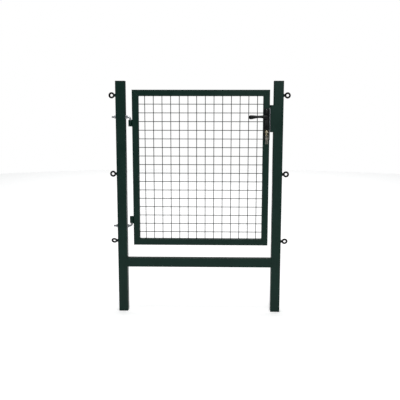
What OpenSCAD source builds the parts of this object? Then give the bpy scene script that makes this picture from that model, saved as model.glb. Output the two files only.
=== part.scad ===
// Single garden gate with welded mesh leaf, two posts and a sill.
// Origin on the ground plane of the post feet, midway between the posts.
// X runs across the gate, Y from the front to the back, Z up.

/* [Posts and sill] */
// Overall width over both posts
gate_w = 1060; // [880:10:1400]
// Overall height of the posts with their caps
post_h = 1500; // [1240:10:2000]
// Side of the square post tube
post_w = 60; // [50:1:80]
// Wall of the post tube
post_wall = 2.5; // [2:0.5:4]
// Outer corner radius of the post tube
post_r = 4; // [3.2:0.2:6]
// Depth of the posts below the underside of the sill
ground_depth = 300; // [240:10:450]
// Height of the sill tube
sill_h = 60; // [40:5:80]
// Depth of the sill tube, front to back
sill_d = 40; // [30:5:60]
// Wall of the sill tube
sill_wall = 2; // [1.5:0.5:3]
// Thickness of the cap's top plate
cap_t = 3; // [2:0.5:5]
// Depth of the cap's plug inside the post
cap_plug = 18; // [10:1:30]
// Clearance of the plug in the post
cap_clear = 0.2; // [0.1:0.05:0.4]

/* [Leaf] */
// Side of the square leaf tube
frame_w = 40; // [33:1:50]
// Wall of the leaf tube
frame_wall = 2; // [1.5:0.5:3]
// Outer corner radius of the leaf tube
frame_r = 3; // [2.6:0.2:5]
// Gap between the hinge post and the leaf
hinge_gap = 43; // [40:1:52]
// Gap between the latch post and the leaf
latch_gap = 25; // [21:1:30]
// Gap between the sill and the leaf
sill_gap = 85; // [40:5:150]
// Height of the posts above the leaf
top_clear = 55; // [20:5:120]

/* [Mesh] */
// Pitch of the wires both ways
mesh_pitch = 55; // [40:1:80]
// Diameter of a wire
wire_d = 4.5; // [3:0.5:6]
// Shift of the mesh from the middle of the leaf, across
mesh_shift_x = 1.5; // [-5:0.5:5]
// Shift of the mesh from the middle of the leaf, upward
mesh_shift_z = -2.5; // [-5:0.5:5]

/* [Hinges] */
// Diameter of the hook bolts
rod_d = 12; // [10:1:13]
// Radius of the bolts' bend, to the middle of the rod
rod_bend = 16; // [13:1:18]
// Length of bolt standing out of the post's outer face
rod_out = 28; // [20:1:34]
// Radial clearance of the pin in the sleeve
pin_clear = 0.08; // [0.03:0.01:0.1]
// Outer diameter of the sleeves
sleeve_d = 26; // [22:1:28]
// Height of the upper sleeve
upper_sleeve_h = 40; // [30:1:60]
// Height of the lower sleeve
lower_sleeve_h = 42; // [30:1:60]
// Drop of the upper sleeve's top from the top of the leaf
upper_sleeve_drop = 191; // [120:1:260]
// Rise of the lower sleeve's underside from the foot of the leaf
lower_sleeve_rise = 145; // [100:1:260]
// Thickness of the bolts' collars and of the bearing washer
collar_t = 3; // [2:0.5:4]
// Diameter of the collars and of the bearing washer
collar_d = 21; // [18:1:24]

/* [Eyes for the fence's tension wires] */
// Radius of the hole in an eye
eye_hole_r = 8; // [7:0.5:12]
// Diameter of an eye's stock
eye_stock = 12; // [8:0.5:12]
// Length of the straight wall in the eye's hole
eye_land = 4; // [3:0.5:6]
// Reach of an eye from the face of the post
eye_reach = 47; // [42:1:60]
// Height of the lowest eye
eye_low = 470; // [390:10:600]
// Drop of the highest eye from the top of the post
eye_top_drop = 90; // [50:5:150]
// Drop of the middle eye below the middle of the other two
eye_mid_drop = 30; // [-50:5:50]
// Turn of the lower left eye about its bolt
eye_turn_left = 32; // [0:1:45]
// Turn of the lower right eye about its bolt
eye_turn_right = 18; // [0:1:45]

/* [Lock and levers] */
// Drop of the spindle from the top of the leaf
spindle_drop = 170; // [150:5:400]
// Distance from the spindle down to the cylinder
lock_centres = 92; // [70:1:95]
// Side of the square spindle
spindle_w = 8; // [7:1:9]
// Width of the long plates
plate_w = 35; // [30:1:38]
// Thickness of the long plates
plate_t = 6; // [4:0.5:8]
// Height of the plates above the spindle
plate_up = 52; // [48:1:60]
// Depth of the plates below the cylinder
plate_down = 52; // [42:1:60]
// Reach of a lever from the spindle to the middle of its tip
lever_reach = 100; // [80:1:120]
// Thickness of a lever's grip
grip_t = 14; // [10:1:16]
// Distance from the leaf's face to the near side of a grip
grip_off = 18; // [16:1:24]
// Diameter of a lever's neck
neck_d = 18; // [16:0.5:19]
// Radial clearance of the turning parts
turn_clear = 0.06; // [0.03:0.01:0.1]
// Thickness of the lock's forend
forend_t = 3; // [2:0.5:4]
// Width of the forend
forend_w = 24; // [20:1:28]
// Thickness of the lock case, front to back
case_t = 16; // [14:1:18]
// Wall of the lock case
case_wall = 1.2; // [1:0.1:1.5]
// Length of latch bolt standing out of the forend
latch_out = 8.5; // [7:0.5:9]
// Travel of the dead bolt
dead_throw = 12; // [8:0.5:13]
// Clearance of a bolt in its hole
bolt_clear = 0.3; // [0.2:0.05:0.5]

/* [Keep] */
// Thickness of the folded sheet
keep_t = 3; // [2:0.5:4]
// Height of the keep
keep_h = 170; // [160:1:200]
// Height of the keep's top above the spindle
keep_up = 75; // [65:1:90]
// Width of the keep's front leg on the face of the post
keep_lap = 45; // [25:1:54]
// Height of the stop tab behind the leaf
tab_h = 20; // [12:1:21]
// Gap between the closed leaf and the stop tab
tab_gap = 0.3; // [0.2:0.1:1]

/* [Keys] */
// Diameter of a key's bow
bow_d = 25; // [20:1:28]
// Thickness of a key
key_t = 2.3; // [2:0.1:2.6]
// Length of a spare key from its hole to its tip
key_len = 50; // [44:1:60]
// Mean diameter of the key ring
ring_d = 23; // [20:1:26]
// Thickness of the key ring's wire
ring_wire = 2; // [1.5:0.5:2.5]
// Turn of the spare keys about the vertical
key_twist = 28; // [0:1:30]

/* [Hidden] */
$fn = 48;
eps = 0.01;
through = 200;

// Main planes of the gate
post_x = (gate_w - post_w) / 2;
post_in = post_x - post_w / 2;
post_out = post_x + post_w / 2;
sill_top = ground_depth + sill_h;
leaf_x0 = -post_in + hinge_gap;
leaf_x1 = post_in - latch_gap;
leaf_z0 = sill_top + sill_gap;
leaf_z1 = post_h - top_clear;
frame_y = frame_w / 2;

// Mesh
mesh_w = leaf_x1 - leaf_x0 - 2 * frame_w;
mesh_h = leaf_z1 - leaf_z0 - 2 * frame_w;
wires_across = floor(mesh_w / mesh_pitch);
wires_up = floor(mesh_h / mesh_pitch);
first_wire_x = (leaf_x0 + leaf_x1 - (wires_across - 1) * mesh_pitch) / 2 + mesh_shift_x;
first_wire_z = (leaf_z0 + leaf_z1 - (wires_up - 1) * mesh_pitch) / 2 + mesh_shift_z;

// Hinges
pin_x = leaf_x0 - sleeve_d / 2;
upper_sleeve_z1 = leaf_z1 - upper_sleeve_drop;
upper_sleeve_z0 = upper_sleeve_z1 - upper_sleeve_h;
lower_sleeve_z0 = leaf_z0 + lower_sleeve_rise;
lower_sleeve_z1 = lower_sleeve_z0 + lower_sleeve_h;
collar_gap = 0.4;
upper_rod_z = upper_sleeve_z1 + collar_gap + collar_t + rod_bend;
lower_rod_z = lower_sleeve_z0 - 2 * collar_t - rod_bend;
pin_short = 2;
weld_pad = 8;
rod_hole_clear = 0.25;
hinge_nut_af = 19;
hinge_nut_t = 10;
hinge_washer_d = 24;
hinge_washer_t = 2.5;

// Eyes
eye_x = post_out + eye_reach - eye_hole_r - eye_stock;
eye_ring_r = eye_hole_r + eye_stock / 2;
eye_top = post_h - eye_top_drop;
eye_mid = (eye_low + eye_top) / 2 - eye_mid_drop;
eye_heights = [eye_top, eye_mid, eye_low];
eye_shank_in = 25;
eye_nut_af = 19;
eye_nut_t = 6;
insert_flange_d = 19;
insert_flange_t = 1.5;
insert_d = 15;
insert_len = 18;
thread_clear = 0.1;

// Lock
spindle_x = leaf_x1 - frame_w / 2;
spindle_z = leaf_z1 - spindle_drop;
cyl_z = spindle_z - lock_centres;
forend_x = leaf_x1 + forend_t;
plate_z0 = cyl_z - plate_down;
plate_z1 = spindle_z + plate_up;
plate_face = frame_y + plate_t;
plate_edge_r = 5;
plate_screw_d = 4;
plate_screw_head = 7.5;
plate_screw_in = 7;
plate_screw_head_t = 2;
plate_screws_z = [plate_z0 + plate_screw_in, plate_z1 - plate_screw_in];
case_back_gap = 2;
case_below = 35;
case_above = 40;
case_x0 = leaf_x1 - frame_w + frame_wall + case_back_gap;
case_z0 = cyl_z - case_below;
case_z1 = spindle_z + case_above;
case_fit = 0.3;
socket_clear = 0.05;
spindle_end = frame_y + grip_off + grip_t / 2;
grip_y0 = frame_y + grip_off;
neck_start = 0.4;
boss_r = 11;
waist_r = 7;
waist_x = 0.6 * lever_reach;
tip_r = 9.5;
set_screw_d = 4;
set_screw_deep = 0.4;
set_screw_y = frame_y + grip_off / 2 + plate_t / 2;
end_gap = 0.1;
spindle_short = 3;
neck_room = 1;

// Latch bolt, follower and dead bolt
arm_r = 14;
arm_w = 5;
hub_d = 20;
hub_boss_d = 12;
hub_t = case_t - 2 * case_wall - 2 * case_fit;
latch_rise = 28;
latch_z = spindle_z + latch_rise;
latch_w = 12;
latch_h = 18;
latch_back = 10;
latch_nose = 3;
latch_nose_in = 1;
stem_d = 5;
leg_t = 2;
leg_gap = 0.5;
leg_down = 3;
leg_x1 = spindle_x - arm_w / 2 - leg_gap;
leg_z0 = spindle_z + arm_r - leg_down;
lug_t = 2;
lug_gap = 0.6;
lug_x0 = leg_x1 + lug_gap;
lug_w = 12;
spring_d = 9;
dead_rise = 37;
dead_z = cyl_z + dead_rise;
dead_w = 12;
dead_h = 22;
dead_inset = 0.5;
dead_tail_gap = 0.6;
dead_stop_gap = 2;
dead_tail_x0 = case_x0 + case_wall + dead_tail_gap;
dead_tail_t = 3;
dead_hook = 2;
dead_tail_rise = 11;
dead_tail_z0 = cyl_z + dead_tail_rise;

// Cylinder and key
cyl_r = 8.5;
keel_w = 10;
keel_down = 24.5;
cyl_proud = 3;
cyl_clear = 0.2;
plug_r = 6.45;
cam_gap = 5;
cam_t = 9.4;
cam_r = 14.5;
cam_lobe_w = 6;
cam_angle = 45;
cam_room = 1;
plug_web = 4;
keyway_w = key_t + 0.3;
keyway_h = 8.6;
blade_h = 8.3;
blade_len = 22;
key_neck = 9.5;
bow_y = plate_face + cyl_proud + key_neck + bow_d / 2 - 1;
hole_r = 3.25;
hole_in = 5;
hole_y = bow_y + bow_d / 2 - hole_in;
ring_gap = 0.3;
ring_top_z = cyl_z - hole_r + ring_wire / 2 + ring_gap;
ring_z = ring_top_z - ring_d / 2;
spare_spread = 24;
spare_gap = 1.3;

// Forend, strike and keep
forend_z0 = plate_z0 - 2;
forend_z1 = plate_z1 + 2;
screw_d = 5;
screw_head = 9;
screw_in = 7;
forend_screw_len = 12;
forend_r = 2;
forend_screws_z = [forend_z0 + screw_in, forend_z1 - screw_in];
cyl_screw_drop = 19.5;
cyl_screw_over = 2;
cyl_screw_z = cyl_z - cyl_screw_drop;
keep_z1 = spindle_z + keep_up;
keep_z0 = keep_z1 - keep_h;
swing_gap = 3;
keep_x0 = forend_x + swing_gap;
strike_t = 1.5;
strike_w = 22;
strike_below = 38;
strike_above = 26;
strike_screw_in = 8;
strike_screw_len = 9;
strike_head_t = 0.8;
strike_z0 = dead_z - strike_below;
strike_z1 = latch_z + strike_above;
strike_screws_z = [strike_z0 + strike_screw_in, strike_z1 - strike_screw_in];
slot_clear = 1;
tab_over = 14;

green = [0.09, 0.17, 0.15];
wire_green = [0.16, 0.25, 0.22];
zinc = [0.72, 0.73, 0.74];
black = [0.07, 0.07, 0.08];
brassy = [0.70, 0.62, 0.42];

// A rectangle with round corners, centred
module round_rect(w, h, r) {
    square([w - 2 * r, h], center = true);
    square([w, h - 2 * r], center = true);
    for (sx = [-1, 1])
        for (sy = [-1, 1])
            translate([sx * (w / 2 - r), sy * (h / 2 - r)])
                circle(r = r);
}

// The section of a rectangular tube, centred
module tube_section(w, h, wall, r) {
    difference() {
        round_rect(w, h, r);
        round_rect(w - 2 * wall, h - 2 * wall, r - wall / 2);
    }
}

// A cylinder along X from x0 to x1
module rod_x(x0, x1, r) {
    translate([x0, 0, 0])
        rotate([0, 90, 0])
            cylinder(r = r, h = x1 - x0);
}

// A cylinder along Y from y0 to y1
module rod_y(y0, y1, r) {
    translate([0, y0, 0])
        rotate([-90, 0, 0])
            cylinder(r = r, h = y1 - y0);
}

// A hexagon nut along X, with a bore
module nut_x(x0, x1, af, bore_r) {
    translate([x0, 0, 0])
        rotate([0, 90, 0])
            difference() {
                cylinder(d = af / cos(30), h = x1 - x0, $fn = 6);
                translate([0, 0, -eps])
                    cylinder(r = bore_r, h = x1 - x0 + 2 * eps);
            }
}

// A flat shape drawn in X and Z, from y0 to y1
module slab(y0, y1) {
    translate([0, y1, 0])
        rotate([90, 0, 0])
            linear_extrude(y1 - y0)
                children();
}

// Posts

module post_tube() {
    linear_extrude(post_h - cap_t)
        tube_section(post_w, post_w, post_wall, post_r);
}

// The holes of one post's three eye inserts, in its outer wall
module eye_insert_holes(side) {
    for (z = eye_heights)
        translate([side * post_out, 0, z])
            rotate([0, -side * 90, 0])
                translate([0, 0, -post_wall])
                    cylinder(r = insert_d / 2 + thread_clear, h = 3 * post_wall);
}

module hinge_post() {
    color(green)
        difference() {
            translate([-post_x, 0, 0])
                post_tube();
            eye_insert_holes(-1);
            for (z = [upper_rod_z, lower_rod_z])
                translate([0, 0, z])
                    rod_x(-post_out - 1, -post_in + 1, rod_d / 2 + rod_hole_clear);
        }
}

module latch_post() {
    color(green)
        difference() {
            translate([post_x, 0, 0])
                post_tube();
            eye_insert_holes(1);
        }
}

module sill_rail() {
    color(green)
        translate([-post_in, -(post_w - sill_d) / 2, ground_depth + sill_h / 2])
            rotate([90, 0, 90])
                linear_extrude(2 * post_in)
                    tube_section(sill_d, sill_h, sill_wall, post_r - 1);
}

module post_cap() {
    plug_w = post_w - 2 * post_wall - 2 * cap_clear;
    translate([0, 0, post_h - cap_t])
        linear_extrude(cap_t)
            round_rect(post_w, post_w, post_r);
    translate([0, 0, post_h - cap_t - cap_plug])
        linear_extrude(cap_plug)
            tube_section(plug_w, plug_w, 2 * post_wall, post_r);
}

module post_caps() {
    color(black)
        for (side = [-1, 1])
            translate([side * post_x, 0, 0])
                post_cap();
}

// Eyes

// One eye bolt with its ring centred on the origin and its shank towards -X
module eye_bolt(turn) {
    shank_end = post_out - eye_shank_in - eye_x;
    rotate([turn, 0, 0])
        difference() {
            union() {
                rotate([90, 0, 0])
                    rotate_extrude()
                        translate([eye_ring_r, 0])
                            circle(d = eye_stock);
                rotate([90, 0, 0])
                    cylinder(r = eye_ring_r, h = eye_land, center = true);
                rod_x(shank_end, -eye_ring_r, eye_stock / 2);
            }
            rotate([90, 0, 0])
                cylinder(r = eye_hole_r, h = through, center = true);
        }
}

module placed_eye(side, z, turn) {
    color(black)
        translate([side * eye_x, 0, z])
            mirror([side < 0 ? 1 : 0, 0, 0])
                eye_bolt(turn);
}

module eye_upper_left() { placed_eye(-1, eye_top, 0); }
module eye_middle_left() { placed_eye(-1, eye_mid, 0); }
module eye_lower_left() { placed_eye(-1, eye_low, eye_turn_left); }
module eye_upper_right() { placed_eye(1, eye_top, 0); }
module eye_middle_right() { placed_eye(1, eye_mid, 0); }
module eye_lower_right() { placed_eye(1, eye_low, eye_turn_right); }

// What repeats at each of the six eyes
module at_eyes() {
    for (side = [-1, 1])
        for (z = eye_heights)
            translate([0, 0, z])
                mirror([side < 0 ? 1 : 0, 0, 0])
                    children();
}

module eye_nuts() {
    nut_x0 = post_out + insert_flange_t;
    color(black)
        at_eyes()
            nut_x(nut_x0, nut_x0 + eye_nut_t, eye_nut_af, eye_stock / 2 + thread_clear);
}

module eye_inserts() {
    color(zinc)
        at_eyes()
            difference() {
                union() {
                    rod_x(post_out, post_out + insert_flange_t, insert_flange_d / 2);
                    rod_x(post_out - insert_len, post_out, insert_d / 2);
                }
                rod_x(0, post_out + through, eye_stock / 2 + thread_clear);
            }
}

// Hinges

// A hook bolt: through the post, bent up (dir 1) or down (dir -1) into its pin
module hook_bolt(rod_z, dir, pin_len) {
    bend_x = pin_x - rod_bend;
    translate([0, 0, rod_z])
        rod_x(-post_out - rod_out, bend_x, rod_d / 2);
    translate([bend_x, 0, rod_z + dir * rod_bend])
        mirror([0, 0, dir > 0 ? 1 : 0])
            rotate([90, 0, 0])
                rotate_extrude(angle = 90)
                    translate([rod_bend, 0])
                        circle(d = rod_d);
    translate([pin_x, 0, rod_z + dir * rod_bend])
        mirror([0, 0, dir > 0 ? 0 : 1]) {
            cylinder(d = rod_d, h = pin_len);
            cylinder(d = collar_d, h = collar_t);
        }
}

module hinge_bolt_upper() {
    color(zinc)
        hook_bolt(upper_rod_z, -1, collar_t + collar_gap + upper_sleeve_h - pin_short);
}

module hinge_bolt_lower() {
    color(zinc)
        hook_bolt(lower_rod_z, 1, 2 * collar_t + lower_sleeve_h - pin_short);
}

// What repeats at both hook bolts
module at_rods() {
    for (z = [upper_rod_z, lower_rod_z])
        translate([0, 0, z])
            children();
}

module hinge_nuts() {
    bore = rod_d / 2 + thread_clear;
    outer_x = -post_out - hinge_washer_t;
    inner_x = -post_in + hinge_washer_t;
    color(zinc)
        at_rods() {
            nut_x(outer_x - hinge_nut_t, outer_x, hinge_nut_af, bore);
            nut_x(inner_x, inner_x + hinge_nut_t, hinge_nut_af, bore);
        }
}

module hinge_washers() {
    color(zinc)
        at_rods()
            difference() {
                union() {
                    rod_x(-post_out - hinge_washer_t, -post_out, hinge_washer_d / 2);
                    rod_x(-post_in, -post_in + hinge_washer_t, hinge_washer_d / 2);
                }
                rod_x(-post_out - through, 0, rod_d / 2 + rod_hole_clear);
            }
}

module bearing_washer() {
    color(zinc)
        translate([pin_x, 0, lower_sleeve_z0 - collar_t])
            difference() {
                cylinder(d = collar_d, h = collar_t);
                translate([0, 0, -eps])
                    cylinder(r = rod_d / 2 + pin_clear, h = collar_t + 2 * eps);
            }
}

module sleeve(z0, h) {
    translate([pin_x, 0, z0])
        difference() {
            union() {
                cylinder(d = sleeve_d, h = h);
                translate([0, -weld_pad, 0])
                    cube([sleeve_d / 2, 2 * weld_pad, h]);
            }
            translate([0, 0, -eps])
                cylinder(r = rod_d / 2 + pin_clear, h = h + 2 * eps);
        }
}

module hinge_sleeve_upper() { color(green) sleeve(upper_sleeve_z0, upper_sleeve_h); }
module hinge_sleeve_lower() { color(green) sleeve(lower_sleeve_z0, lower_sleeve_h); }

// Leaf

module stile_tube(x0) {
    translate([x0 + frame_w / 2, 0, leaf_z0])
        linear_extrude(leaf_z1 - leaf_z0)
            tube_section(frame_w, frame_w, frame_wall, frame_r);
}

module rail_tube(z0) {
    translate([leaf_x0, 0, z0 + frame_w / 2])
        rotate([90, 0, 90])
            linear_extrude(leaf_x1 - leaf_x0)
                tube_section(frame_w, frame_w, frame_wall, frame_r);
}

module hinge_stile() {
    color(green)
        intersection() {
            stile_tube(leaf_x0);
            slab(-frame_w, frame_w)
                polygon([
                    [leaf_x0, leaf_z0],
                    [leaf_x0 + frame_w, leaf_z0 + frame_w],
                    [leaf_x0 + frame_w, leaf_z1 - frame_w],
                    [leaf_x0, leaf_z1]
                ]);
        }
}

// The profile of the lock cylinder, grown by a clearance
module cylinder_profile(grow) {
    circle(r = cyl_r + grow);
    translate([-keel_w / 2 - grow, -keel_down + keel_w / 2])
        square([keel_w + 2 * grow, keel_down - keel_w / 2]);
    translate([0, -keel_down + keel_w / 2])
        circle(r = keel_w / 2 + grow);
}

module latch_stile() {
    color(green)
        difference() {
            intersection() {
                stile_tube(leaf_x1 - frame_w);
                slab(-frame_w, frame_w)
                    polygon([
                        [leaf_x1, leaf_z0],
                        [leaf_x1 - frame_w, leaf_z0 + frame_w],
                        [leaf_x1 - frame_w, leaf_z1 - frame_w],
                        [leaf_x1, leaf_z1]
                    ]);
            }
            translate([spindle_x, -case_t / 2 - case_fit, case_z0 - case_fit])
                cube([frame_w, case_t + 2 * case_fit, case_z1 - case_z0 + 2 * case_fit]);
            translate([spindle_x, 0, spindle_z])
                rod_y(-frame_w, frame_w, neck_d / 2 + neck_room);
            translate([spindle_x, 0, cyl_z])
                slab(-frame_w, frame_w)
                    cylinder_profile(2 * cyl_clear);
            for (z = plate_screws_z)
                translate([spindle_x, 0, z])
                    rod_y(-frame_w, frame_w, plate_screw_d / 2 + thread_clear);
            for (z = forend_screws_z)
                translate([0, 0, z])
                    rod_x(spindle_x, through + leaf_x1, screw_d / 2 + thread_clear);
        }
}

module top_rail() {
    color(green)
        intersection() {
            rail_tube(leaf_z1 - frame_w);
            slab(-frame_w, frame_w)
                polygon([
                    [leaf_x0, leaf_z1],
                    [leaf_x0 + frame_w, leaf_z1 - frame_w],
                    [leaf_x1 - frame_w, leaf_z1 - frame_w],
                    [leaf_x1, leaf_z1]
                ]);
        }
}

module bottom_rail() {
    color(green)
        intersection() {
            rail_tube(leaf_z0);
            slab(-frame_w, frame_w)
                polygon([
                    [leaf_x0, leaf_z0],
                    [leaf_x1, leaf_z0],
                    [leaf_x1 - frame_w, leaf_z0 + frame_w],
                    [leaf_x0 + frame_w, leaf_z0 + frame_w]
                ]);
        }
}

module mesh_vertical_wires() {
    color(wire_green)
        for (i = [0 : wires_across - 1])
            translate([first_wire_x + i * mesh_pitch, -wire_d / 2, leaf_z0 + frame_w])
                cylinder(d = wire_d, h = mesh_h);
}

module mesh_horizontal_wires() {
    color(wire_green)
        for (j = [0 : wires_up - 1])
            translate([0, wire_d / 2, first_wire_z + j * mesh_pitch])
                rod_x(leaf_x0 + frame_w, leaf_x1 - frame_w, wire_d / 2);
}

// Lock

// The holes that the hub and the cylinder need in the sides of the case
module case_side_holes() {
    translate([spindle_x, 0, spindle_z])
        rod_y(-case_t, case_t, hub_boss_d / 2 + turn_clear);
    translate([spindle_x, 0, cyl_z])
        slab(-case_t, case_t)
            cylinder_profile(cyl_clear);
}

module lock_case() {
    back_y = case_t / 2 - case_wall;
    color(zinc) {
        difference() {
            translate([case_x0, -case_t / 2, case_z0])
                cube([leaf_x1 - case_x0, case_t - case_wall, case_z1 - case_z0]);
            translate([case_x0 + case_wall, -back_y, case_z0 + case_wall])
                cube([leaf_x1 - case_x0, case_t, case_z1 - case_z0 - 2 * case_wall]);
            case_side_holes();
        }
        difference() {
            translate([lug_x0, -back_y, latch_z - lug_w / 2])
                cube([lug_t, 2 * back_y - case_fit, lug_w]);
            translate([0, 0, latch_z])
                rod_x(case_x0, leaf_x1, stem_d / 2 + bolt_clear);
        }
    }
}

module lock_cover() {
    color(zinc)
        difference() {
            translate([case_x0, case_t / 2 - case_wall, case_z0])
                cube([leaf_x1 - case_x0, case_wall, case_z1 - case_z0]);
            case_side_holes();
        }
}

// A screw along X with a conical head whose face is at x
module screw_x(x, len) {
    head_t = (screw_head - screw_d) / 2;
    translate([x, 0, 0])
        rotate([0, -90, 0]) {
            cylinder(d1 = screw_head, d2 = screw_d, h = head_t);
            cylinder(d = screw_d, h = len);
        }
}

// The hole of such a screw, a little larger
module screw_hole_x(x, t) {
    head_t = (screw_head - screw_d) / 2;
    translate([x, 0, 0])
        rotate([0, -90, 0]) {
            cylinder(d1 = screw_head + thread_clear, d2 = screw_d + thread_clear, h = head_t);
            translate([0, 0, -eps])
                cylinder(d = screw_d + 2 * thread_clear, h = t + 2 * eps);
        }
}

// A window for a bolt, along X
module bolt_window(z, w, h, clear, x0, x1) {
    translate([x0, -w / 2 - clear, z - h / 2 - clear])
        cube([x1 - x0, w + 2 * clear, h + 2 * clear]);
}

module lock_forend() {
    color(zinc)
        difference() {
            translate([leaf_x1, 0, (forend_z0 + forend_z1) / 2])
                rotate([90, 0, 90])
                    linear_extrude(forend_t)
                        round_rect(forend_w, forend_z1 - forend_z0, forend_r);
            bolt_window(latch_z, latch_w, latch_h, bolt_clear, leaf_x1 - 1, forend_x + 1);
            bolt_window(dead_z, dead_w, dead_h, bolt_clear, leaf_x1 - 1, forend_x + 1);
            for (z = forend_screws_z)
                translate([0, 0, z])
                    screw_hole_x(forend_x, forend_t);
            translate([0, 0, cyl_screw_z])
                screw_hole_x(forend_x, forend_t);
        }
}

module forend_screws() {
    color(zinc)
        for (z = forend_screws_z)
            translate([0, 0, z])
                screw_x(forend_x, forend_screw_len);
}

module long_plate() {
    difference() {
        translate([spindle_x, 0, (plate_z0 + plate_z1) / 2])
            slab(-plate_face, -frame_y)
                round_rect(plate_w, plate_z1 - plate_z0, plate_edge_r);
        translate([spindle_x, 0, spindle_z])
            rod_y(-plate_face - 1, 0, neck_d / 2 + turn_clear);
        translate([spindle_x, 0, cyl_z])
            slab(-plate_face - 1, 0)
                cylinder_profile(cyl_clear);
        for (z = plate_screws_z)
            translate([spindle_x, 0, z]) {
                rod_y(-plate_face - 1, 0, plate_screw_d / 2 + thread_clear);
                rod_y(-plate_face - 1, plate_screw_head_t - plate_face, plate_screw_head / 2 + thread_clear);
            }
    }
}

module front_plate() { color(black) long_plate(); }
module back_plate() { color(black) mirror([0, 1, 0]) long_plate(); }

module plate_screws() {
    head_y = plate_face - plate_screw_head_t;
    color(zinc)
        for (z = plate_screws_z)
            translate([spindle_x, 0, z]) {
                rod_y(-head_y, head_y, plate_screw_d / 2);
                for (side = [0, 1])
                    mirror([0, side, 0])
                        rod_y(-plate_face, -head_y, plate_screw_head / 2);
            }
}

module cylinder_body() {
    half = plate_face + cyl_proud;
    color(brassy)
        difference() {
            translate([spindle_x, 0, cyl_z])
                slab(-half, half)
                    cylinder_profile(0);
            translate([spindle_x, 0, cyl_z]) {
                rod_y(-half - 1, half + 1, plug_r + turn_clear);
                rod_y(-cam_gap, cam_gap, cam_r + cam_room);
            }
            translate([0, 0, cyl_screw_z])
                rod_x(spindle_x - cyl_screw_over - 1, forend_x, screw_d / 2 + thread_clear);
        }
}

module rear_plug() {
    color(brassy)
        translate([spindle_x, 0, cyl_z])
            difference() {
                rod_y(cam_gap, plate_face + cyl_proud, plug_r);
                translate([-keyway_w / 2, cam_gap + plug_web, -keyway_h / 2])
                    cube([keyway_w, through, keyway_h]);
            }
}

module cylinder_screw() {
    color(zinc)
        translate([0, 0, cyl_screw_z])
            screw_x(forend_x, forend_x - spindle_x + cyl_screw_over);
}

module latch_spring() {
    spring_x0 = lug_x0 + lug_t;
    color(zinc)
        translate([0, 0, latch_z])
            difference() {
                rod_x(spring_x0, forend_x - latch_back, spring_d / 2);
                rod_x(case_x0, forend_x, stem_d / 2 + bolt_clear);
            }
}

module latch_bolt() {
    head_x0 = forend_x - latch_back;
    head_x1 = forend_x + latch_out;
    bevel = latch_out - latch_nose_in;
    color(zinc) {
        translate([0, 0, latch_z - latch_h / 2])
            linear_extrude(latch_h)
                polygon([
                    [head_x0, -latch_w / 2],
                    [head_x1, -latch_w / 2],
                    [head_x1, -latch_w / 2 + latch_nose],
                    [head_x1 - bevel, latch_w / 2],
                    [head_x0, latch_w / 2]
                ]);
        translate([0, 0, latch_z])
            rod_x(leg_x1 - leg_t, head_x0, stem_d / 2);
        translate([leg_x1 - leg_t, -latch_w / 2 + latch_nose_in, leg_z0])
            cube([leg_t, latch_w - 2 * latch_nose_in, latch_z + stem_d / 2 - leg_z0]);
    }
}

module dead_bolt() {
    tail_y = dead_tail_t / 2;
    color(zinc)
        difference() {
            union() {
                translate([dead_tail_x0, -dead_w / 2, dead_z - dead_h / 2])
                    cube([forend_x - dead_inset - dead_tail_x0, dead_w, dead_h]);
                translate([dead_tail_x0, -tail_y, dead_tail_z0])
                    cube([leaf_x1 - dead_tail_x0 - dead_throw - dead_stop_gap, 2 * tail_y, dead_z - dead_tail_z0]);
            }
            translate([dead_tail_x0 + dead_hook, -dead_w, dead_tail_z0 - 1])
                cube([spindle_x - dead_tail_x0 - dead_hook, 2 * dead_w, cyl_z + cam_r + dead_stop_gap - dead_tail_z0]);
        }
}

// Levers

module lever() {
    translate([spindle_x, 0, spindle_z])
        difference() {
            union() {
                rod_y(-grip_y0, -frame_y - neck_start, neck_d / 2);
                slab(-grip_y0 - grip_t, -grip_y0) {
                    circle(r = boss_r);
                    polygon([
                        [0, boss_r],
                        [-waist_x, waist_r],
                        [-lever_reach, waist_r],
                        [-lever_reach, -waist_r],
                        [-waist_x, -waist_r],
                        [0, -boss_r]
                    ]);
                    translate([-lever_reach, 0])
                        circle(r = tip_r);
                }
            }
            translate([0, -spindle_end + grip_t / 4, 0])
                cube([
                    spindle_w + 2 * socket_clear,
                    grip_t + 2 * grip_off,
                    spindle_w + 2 * socket_clear
                ], center = true);
            translate([0, -set_screw_y, -neck_d])
                cylinder(d = set_screw_d + 2 * thread_clear, h = neck_d);
        }
}

module lever_front() { color(black) lever(); }
module lever_back() { color(black) mirror([0, 1, 0]) lever(); }

module spindle() {
    color(zinc)
        translate([spindle_x, 0, spindle_z])
            cube([spindle_w, 2 * (spindle_end - spindle_short), spindle_w], center = true);
}

module follower_hub() {
    color(zinc)
        translate([spindle_x, 0, spindle_z])
            difference() {
                union() {
                    rod_y(-hub_t / 2, hub_t / 2, hub_d / 2);
                    rod_y(-case_t / 2, case_t / 2, hub_boss_d / 2);
                    slab(-hub_t / 2, hub_t / 2) {
                        translate([-arm_w / 2, 0])
                            square([arm_w, arm_r]);
                        translate([0, arm_r])
                            circle(d = arm_w);
                    }
                }
                cube([spindle_w + 2 * socket_clear, 2 * case_t, spindle_w + 2 * socket_clear], center = true);
            }
}

module lever_set_screws() {
    color(zinc)
        for (side = [0, 1])
            mirror([0, side, 0])
                translate([spindle_x, -set_screw_y, spindle_z - neck_d / 2 + set_screw_deep])
                    cylinder(d = set_screw_d, h = neck_d / 2 - spindle_w / 2 - set_screw_deep - end_gap);
}

// Key, plug and cam

module key_bow() {
    difference() {
        circle(d = bow_d);
        translate([bow_d / 2 - hole_in, 0])
            circle(r = hole_r);
    }
}

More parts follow.
